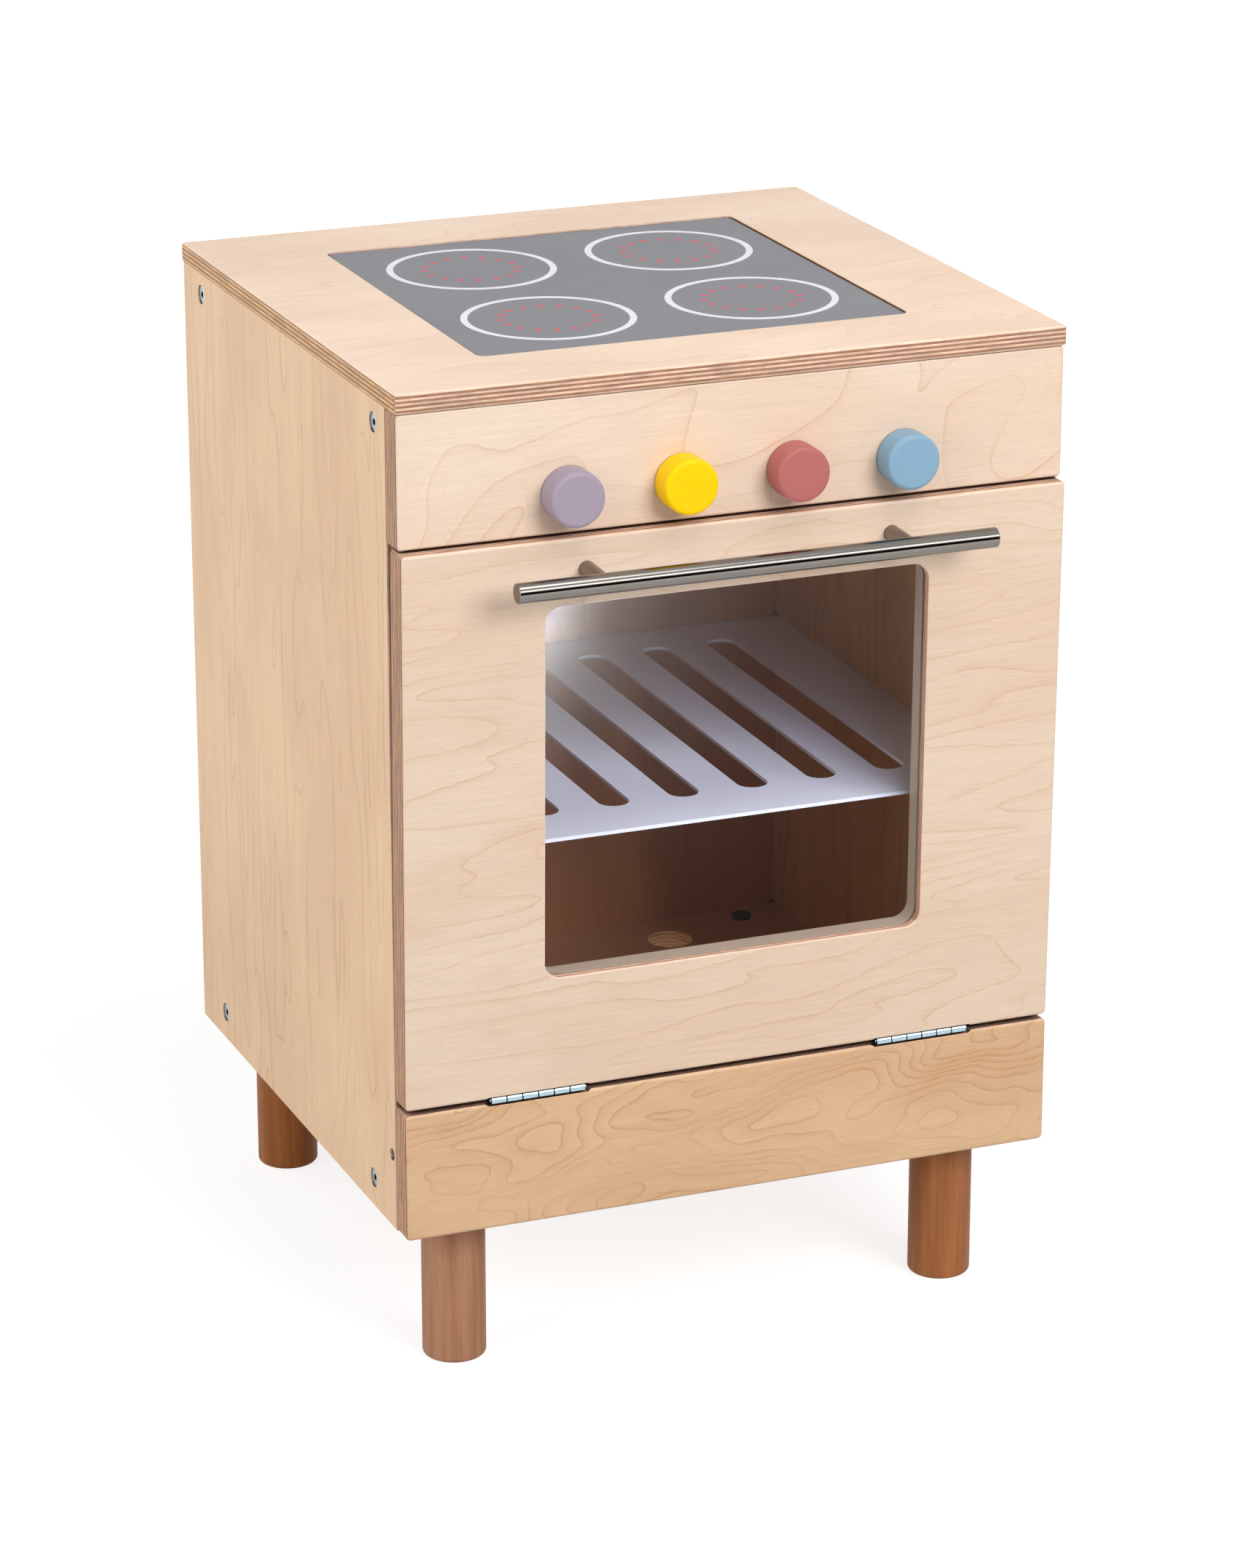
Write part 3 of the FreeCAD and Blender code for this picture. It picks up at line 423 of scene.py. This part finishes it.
def brushed_steel(name, around, base, rough):
    """Steel ground round its length, so that highlights stretch along it."""
    g = new_material(name)
    place = g.place()
    length = g.along(place, around)
    lines = g.noise(g.point(g.scaled(length, BRUSH_SCALE), 0.5, 0.5), detail=3.0, roughness=0.7)
    patch = g.noise(g.zoomed(place, SMUDGE_SCALE))
    colour = g.shade(base, g.remap(lines, 0.25, 0.75, *BRUSH_SPAN, "LINEAR"))
    colour = g.shade(colour, g.remap(patch, 0.25, 0.75, *SMUDGE_SPAN, "LINEAR"))
    tangent = g.add("Tangent", {}, direction_type="RADIAL", axis="X").outputs[0]
    return g.surface({
        "Base Color": colour,
        "Metallic": 1.0,
        "Roughness": g.remap(lines, 0.2, 0.8, rough - 0.02, rough + 0.02, "LINEAR"),
        "Anisotropic": 0.5,
        "Anisotropic Rotation": 0.25,
        "Tangent": tangent,
        "Normal": g.bump(lines, 0.03, 0.05 * MM),
    })


def knuckle_lines(g, place, leaf):
    """Brightness along a hinge's barrel: dark where one knuckle meets the next."""
    low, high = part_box(leaf)
    pitch = (high.x - low.x) / KNUCKLE_COUNT
    from_end = g.math("SUBTRACT", g.along(place, ALONG_X), low.x)
    to_joint = g.math("PINGPONG", from_end, pitch / 2)
    return g.remap(to_joint, KNUCKLE_LINE / 2, KNUCKLE_LINE, KNUCKLE_LINE_SHADE, 1.0)


def plated_steel(name, base, rough, spread, leaf=None):
    """Steel with a cloudy plating and painted shade in its joints and pockets. A hinge, given by its leaf,
    has dark lines between its knuckles.
    """
    g = new_material(name)
    place = g.place()
    cloud = g.noise(g.zoomed(place, CLOUD_SCALE), detail=3.0)
    grain = g.noise(g.zoomed(place, PLATING_GRAIN), detail=1.0)
    colour = g.shade(base, g.remap(cloud, 0.25, 0.75, 1 - spread, 1 + spread, "LINEAR"))
    if leaf:
        colour = g.shade(colour, knuckle_lines(g, place, leaf))
    # Painted shade: the colour darkens in joints, pockets and countersinks.
    return g.surface({
        "Base Color": g.shade(colour, g.painted_nook_shade()),
        "Metallic": 1.0,
        "Roughness": g.remap(cloud, 0.2, 0.8, rough - 0.06, rough + 0.08, "LINEAR"),
        "Normal": g.bump(grain, 0.1, 0.05 * MM),
    })


def clear_pane(name):
    """Clear acrylic: what lies behind shows straight through, with a thin gloss on its outer faces."""
    g = new_material(name)
    smear = g.noise(g.zoomed(g.place(), SMEAR_SCALE), detail=3.0)
    gloss = g.add("BsdfPrincipled", {
        "Base Color": PANE_CLEAR,
        "Metallic": 1.0,
        "Roughness": g.remap(smear, 0.25, 0.75, *PANE_ROUGHNESS, "LINEAR"),
        "Normal": g.bump(smear, 0.02, 1.0 * MM),
    })
    clear = g.add("BsdfTransparent", {"Color": PANE_CLEAR})
    inside = g.add("NewGeometry", {}).outputs["Backfacing"]
    outside = g.math("SUBTRACT", 1.0, inside)
    share = g.math("MULTIPLY", outside, g.add("Fresnel", {"IOR": PANE_GLOSS_INDEX}).outputs[0])
    seen = g.math("SUBTRACT", 1.0, g.add("LightPath", {}).outputs["Is Diffuse Ray"])
    share = g.math("MULTIPLY", share, seen)
    return g.end(g.add("MixShader", {0: share, 1: clear.outputs[0], 2: gloss.outputs[0]}))


# Print on the hob

RING_SPACING = 130.5 * MM
RING_RADIUS = 52.3 * MM
RING_BAND = 4.2 * MM
RING_SHIFT_Y = 0.9 * MM
RING_STEPS = 144
DASH_COUNT = 16
DASH_INNER_SHARE = 0.50
DASH_OUTER_SHARE = 0.60
DASH_WIDTH = 3.0 * MM
PRINT_THICK = 0.06 * MM


def ring_centres():
    low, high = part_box("hob_plate")
    middle = (low + high) / 2
    half = RING_SPACING / 2
    return [
        Vector((middle.x + side * half, middle.y + RING_SHIFT_Y + row * half, high.z))
        for row in (-1, 1) for side in (-1, 1)
    ]


def prism(mesh, outline):
    """Closed thin solid over an outline of points, from the hob's surface upwards."""
    lower = [mesh.verts.new(point) for point in outline]
    upper = [mesh.verts.new(point + ALONG_Z * PRINT_THICK) for point in outline]
    mesh.faces.new(list(reversed(lower)))
    mesh.faces.new(upper)
    for i in range(len(outline)):
        j = (i + 1) % len(outline)
        mesh.faces.new((lower[i], lower[j], upper[j], upper[i]))


def ring_band(mesh, centre):
    """Closed flat ring."""
    loops = []
    for radius in (RING_RADIUS, RING_RADIUS - RING_BAND):
        for rise in (0.0, PRINT_THICK):
            loop = []
            for i in range(RING_STEPS):
                turn = 2 * math.pi * i / RING_STEPS
                out = Vector((math.cos(turn), math.sin(turn), 0)) * radius
                loop.append(mesh.verts.new(centre + out + ALONG_Z * rise))
            loops.append(loop)
    outer_low, outer_high, inner_low, inner_high = loops
    for i in range(RING_STEPS):
        j = (i + 1) % RING_STEPS
        mesh.faces.new((outer_high[i], outer_high[j], inner_high[j], inner_high[i]))
        mesh.faces.new((outer_low[j], outer_low[i], inner_low[i], inner_low[j]))
        mesh.faces.new((outer_low[i], outer_low[j], outer_high[j], outer_high[i]))
        mesh.faces.new((inner_low[j], inner_low[i], inner_high[i], inner_high[j]))


def ring_dashes(mesh, centre):
    for i in range(DASH_COUNT):
        turn = 2 * math.pi * (i + 0.5) / DASH_COUNT
        out = Vector((math.cos(turn), math.sin(turn), 0))
        side = Vector((-out.y, out.x, 0)) * (DASH_WIDTH / 2)
        near = centre + out * (RING_RADIUS * DASH_INNER_SHARE)
        far = centre + out * (RING_RADIUS * DASH_OUTER_SHARE)
        prism(mesh, [near - side, far - side, far + side, near + side])


def printed(name, draw, material):
    """Piece of thin print on the hob, one draw for each of the four rings."""
    mesh = bmesh.new()
    for centre in ring_centres():
        draw(mesh, centre)
    bmesh.ops.recalc_face_normals(mesh, faces=mesh.faces)
    data = bpy.data.meshes.new(name)
    mesh.to_mesh(data)
    mesh.free()
    data.materials.append(material)
    piece = bpy.data.objects.new(name, data)
    bpy.context.scene.collection.objects.link(piece)
    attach(piece, "cabinet")


# Finishes of the nodes

CREAM_LINE = srgb(200, 152, 106)
TAN_LINE = srgb(176, 122, 74)
SIDE_TAN = srgb(238, 200, 157)
BOARDS = {
    "worktop": Veneer(ALONG_X, srgb(251, 223, 199), CREAM_LINE, 5.0, 17.0, 10.0, 0.36, 0.08, 3.1, 4.0),
    "control_panel": Veneer(ALONG_X, srgb(230, 208, 188), CREAM_LINE, 4.2, 6.5, 12.0, 0.48, 0.16, 11.4, 35.0),
    "door_panel": Veneer(ALONG_X, srgb(226, 203, 182), CREAM_LINE, 2.7, 16.0, 13.0, 0.46, 0.14, 23.7, 3.0),
    "plinth_panel": Veneer(ALONG_X, srgb(217, 180, 142), TAN_LINE, 6.0, 15.0, 22.0, 0.42, 0.27, 31.2, 5.0),
    "left_side_panel": Veneer(ALONG_Z, SIDE_TAN, TAN_LINE, 2.2, 16.0, 12.0, 0.48, 0.15, 43.5, 1.0),
    "right_side_panel": Veneer(ALONG_Z, SIDE_TAN, TAN_LINE, 2.2, 16.0, 12.0, 0.48, 0.15, 57.9, 1.0),
    # Painted shade: the back panel's tone is darkened for the shade inside the stove.
    "back_panel": Veneer(ALONG_Z, srgb(218, 153, 104), TAN_LINE, 2.4, 14.0, 8.0, 0.22, 0.10, 66.3, 2.0),
    "floor_panel": Veneer(ALONG_X, srgb(233, 184, 140), TAN_LINE, 4.0, 15.0, 8.0, 0.30, 0.12, 71.6, 3.0),
}
LEGS = {
    "front_left_leg": (srgb(180, 130, 98), srgb(152, 104, 74)),
    "front_right_leg": (srgb(172, 110, 64), srgb(146, 86, 44)),
    "back_left_leg": (srgb(170, 104, 52), srgb(145, 81, 36)),
    "back_right_leg": (srgb(172, 110, 64), srgb(146, 86, 44)),
}
LEG_SEED_STEP = 9.3
BATTEN_TONES = srgb(206, 160, 120), srgb(182, 132, 94)
BATTEN_SEED = 4.4
BATTENS = ("upper_front_batten", "upper_back_batten", "plinth_rail")
ZINC_NODES = (
    "side_screws", "back_screws", "rail_screws", "plinth_screws", "control_panel_screws", "worktop_screws",
    "plinth_hinge_screws", "door_hinge_screws", "handle_screws", "pane_clips", "strike_discs", "door_magnets",
    "left_hinge_pin", "right_hinge_pin",
)
ZINC = srgb(178, 202, 214)
SCREW_ZINC = srgb(156, 174, 182)
BAR_STEEL = srgb(128, 123, 118)
TURNED_STEEL = srgb(132, 122, 114)
BOLT_BLACK = srgb(68, 60, 55)
HOB_GREY = srgb(109, 109, 116)
SHELF_WHITE = srgb(232, 236, 250)
FRAME_PALE = srgb(206, 186, 168)
PRINT_WHITE = srgb(236, 236, 242)
PRINT_RED = srgb(205, 82, 92)
KNOB_PAINTS = {
    "lilac": srgb(160, 147, 163),
    "yellow": srgb(250, 202, 0),
    "red": srgb(177, 104, 100),
    "blue": srgb(131, 164, 188),
}


def dress_wood():
    for name, look in BOARDS.items():
        dress(plywood(name, look), name)
    for number, (name, (pale, deep)) in enumerate(LEGS.items()):
        dress(solid_wood(name + "_beech", ALONG_Z, pale, deep, LEG_SEED_STEP * number), name)
    dress(solid_wood("batten_beech", ALONG_X, *BATTEN_TONES, BATTEN_SEED), *BATTENS)


def dress_metal():
    dress(brushed_steel("brushed_stainless", ALONG_X, BAR_STEEL, 0.12), "handle_bar")
    dress(plated_steel("turned_stainless", TURNED_STEEL, 0.34, 0.05), "handle_posts", "handle_caps")
    dress(plated_steel("zinc_plating", SCREW_ZINC, 0.30, 0.03), *ZINC_NODES)
    for side in ("left", "right"):
        door_leaf, plinth_leaf = side + "_hinge_door_leaf", side + "_hinge_plinth_leaf"
        dress(plated_steel(side + "_hinge_zinc", ZINC, 0.28, 0.02, door_leaf), door_leaf, plinth_leaf)
    dress(plated_steel("black_oxide", BOLT_BLACK, 0.42, 0.18), "leg_bolts")
    for colour in KNOB_PAINTS:
        dress(bpy.data.materials["zinc_plating"], colour + "_knob_spindle", colour + "_knob_nut")


def dress_rest():
    for colour, level in KNOB_PAINTS.items():
        paint = mottled(colour + "_lacquer", level, 0.02, 0.45, 0.05 * MM, {"Specular IOR Level": 0.14})
        dress(paint, colour + "_knob")
    board = mottled("hob_board_grey", HOB_GREY, 0.03, 0.38, 0.03 * MM, {"Specular IOR Level": 0.4})
    dress(board, "hob_plate")
    dress(mottled("white_powder_coat", SHELF_WHITE, 0.012, 0.45, 0.06 * MM), "oven_shelf")
    dress(mottled("pale_sheet", FRAME_PALE, 0.03, 0.5, 0.06 * MM), "pane_frame")
    dress(clear_pane("clear_acrylic_pane"), "window_pane")
    printed("hob_rings", ring_band, mottled("white_print", PRINT_WHITE, 0.015, 0.5, 0.02 * MM))
    printed("hob_dashes", ring_dashes, mottled("red_print", PRINT_RED, 0.03, 0.5, 0.02 * MM))


# Stage

CAMERA_PLACE = Vector((-1.1626, -2.8862, 1.3920))
CAMERA_AZIMUTH = -21.992
CAMERA_ELEVATION = 19.292
CAMERA_LENS = 121.56
CAMERA_SENSOR = 36.0
FLOOR_HALF = 30.0
FLOOR_BOUNCE = srgb(190, 190, 190)
FLOOR_SHOWN = srgb(160, 160, 160)
GLOW_NEAR, GLOW_FAR = 0.45, 1.4
GLOW_LEAST = 0.80
WHITE = srgb(255, 255, 255)
WORLD_LIGHT = 0.26
BACKGROUND = 1.0

Lamp = namedtuple("Lamp", "name place wide tall watts tint", defaults=((1.0, 1.0, 1.0),))
LAMPS = (
    Lamp("key_softbox", Vector((0.9, -2.7, 1.95)), 1.8, 1.4, 72.0),
    Lamp("top_softbox", Vector((0.3, -1.1, 2.9)), 1.2, 1.0, 20.0),
    Lamp("left_softbox", Vector((-2.9, -0.9, 1.35)), 2.0, 2.0, 42.0),
    Lamp("back_softbox", Vector((-1.7, 2.9, 1.5)), 2.2, 2.2, 30.0),
)
PANE_LAMP = Lamp("pane_softbox", Vector((-0.105, -1.20, 0.405)), 0.8, 0.7, 1500.0)
SHELF_LAMP = Lamp("shelf_softbox", Vector((0.0, -1.5, 1.25)), 0.7, 0.7, 11.0, (0.96, 1.02, 1.34))
BAR_LAMP = Lamp("bar_softbox", Vector((0.9, -2.7, 2.05)), 1.8, 0.7, 19.0)
FLAG_PLACE = Vector((1.1, -3.1, 0.74))
FLAG_WIDE, FLAG_TALL = 3.0, 1.36
FLAG_GREY = srgb(24, 24, 24)


def seen_directly(g):
    """1 for rays from the camera, a reflection or a clear surface, and 0 for light that bounces."""
    path = g.add("LightPath", {})
    sharp = g.math("MAXIMUM", path.outputs["Is Glossy Ray"], path.outputs["Is Transmission Ray"])
    return g.math("MAXIMUM", path.outputs["Is Camera Ray"], sharp)


def make_floor():
    g = new_material("pale_floor")
    bounce = g.add("BsdfDiffuse", {"Color": FLOOR_BOUNCE})
    shadow = g.add("BsdfDiffuse", {"Color": FLOOR_SHOWN})
    reach = g.add("VectorMath", {0: g.place()}, operation="LENGTH").outputs["Value"]
    glow = g.add("Emission", {"Strength": g.remap(reach, GLOW_NEAR, GLOW_FAR, GLOW_LEAST, 1.0)})
    lit = g.add("AddShader", {0: shadow.outputs[0], 1: glow.outputs[0]})
    finish = g.end(g.add("MixShader", {0: seen_directly(g), 1: bounce.outputs[0], 2: lit.outputs[0]}))
    data = bpy.data.meshes.new("floor")
    corners = [(-1, -1), (1, -1), (1, 1), (-1, 1)]
    data.from_pydata([(x * FLOOR_HALF, y * FLOOR_HALF, 0) for x, y in corners], [], [(0, 1, 2, 3)])
    data.materials.append(finish)
    floor = bpy.data.objects.new("floor", data)
    bpy.context.scene.collection.objects.link(floor)


def make_world():
    g = Graph(bpy.data.worlds.new("studio"), "OutputWorld")
    dim = g.add("Background", {"Color": WHITE, "Strength": WORLD_LIGHT})
    white = g.add("Background", {"Color": WHITE, "Strength": BACKGROUND})
    mixed = g.add("MixShader", {0: seen_directly(g), 1: dim.outputs[0], 2: white.outputs[0]})
    bpy.context.scene.world = g.end(mixed)


def aim(thing, target):
    thing.rotation_euler = (target - thing.location).to_track_quat("-Z", "Y").to_euler()


def add_lamp(lamp, target):
    data = bpy.data.lights.new(lamp.name, "AREA")
    data.shape = "RECTANGLE"
    data.size, data.size_y = lamp.wide, lamp.tall
    data.energy = lamp.watts
    data.color = lamp.tint
    thing = bpy.data.objects.new(lamp.name, data)
    bpy.context.scene.collection.objects.link(thing)
    thing.location = lamp.place
    thing.visible_camera = False
    aim(thing, target)
    return thing


def make_lamps():
    low, high = cad_box
    things = [add_lamp(lamp, (low + high) / 2) for lamp in LAMPS]
    spared = bpy.data.collections.new("key_spares")
    spared.objects.link(nodes["handle_bar"])
    spared.collection_objects[0].light_linking.link_state = "EXCLUDE"
    things[0].light_linking.receiver_collection = spared


def light_only(lamp, name):
    """Softbox that lights one node alone."""
    low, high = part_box(name)
    thing = add_lamp(lamp, (low + high) / 2)
    receivers = bpy.data.collections.new(lamp.name + "_receivers")
    receivers.objects.link(nodes[name])
    thing.light_linking.receiver_collection = receivers


def make_flag():
    """Dark card behind the camera that only polished surfaces mirror."""
    g = new_material("dark_card")
    card = g.end(g.add("BsdfDiffuse", {"Color": FLAG_GREY}))
    data = bpy.data.meshes.new("flag")
    half_x, half_y = FLAG_WIDE / 2, FLAG_TALL / 2
    corners = [(-half_x, -half_y, 0), (half_x, -half_y, 0), (half_x, half_y, 0), (-half_x, half_y, 0)]
    data.from_pydata(corners, [], [(0, 1, 2, 3)])
    data.materials.append(card)
    flag = bpy.data.objects.new("flag", data)
    bpy.context.scene.collection.objects.link(flag)
    flag.location = FLAG_PLACE
    aim(flag, (cad_box[0] + cad_box[1]) / 2)
    flag.visible_camera = False
    flag.visible_diffuse = False
    flag.visible_shadow = False
    flag.visible_transmission = False


def make_camera():
    data = bpy.data.cameras.new("camera")
    data.lens = CAMERA_LENS
    data.sensor_width = CAMERA_SENSOR
    camera = bpy.data.objects.new("camera", data)
    bpy.context.scene.collection.objects.link(camera)
    camera.location = CAMERA_PLACE
    camera.rotation_euler = (math.radians(90 - CAMERA_ELEVATION), 0, math.radians(CAMERA_AZIMUTH))
    bpy.context.scene.camera = camera


dress_wood()
dress_metal()
dress_rest()
make_floor()
make_world()
make_lamps()
light_only(PANE_LAMP, "window_pane")
light_only(SHELF_LAMP, "oven_shelf")
light_only(BAR_LAMP, "handle_bar")
make_flag()
make_camera()
bpy.context.scene.view_settings.view_transform = "Standard"
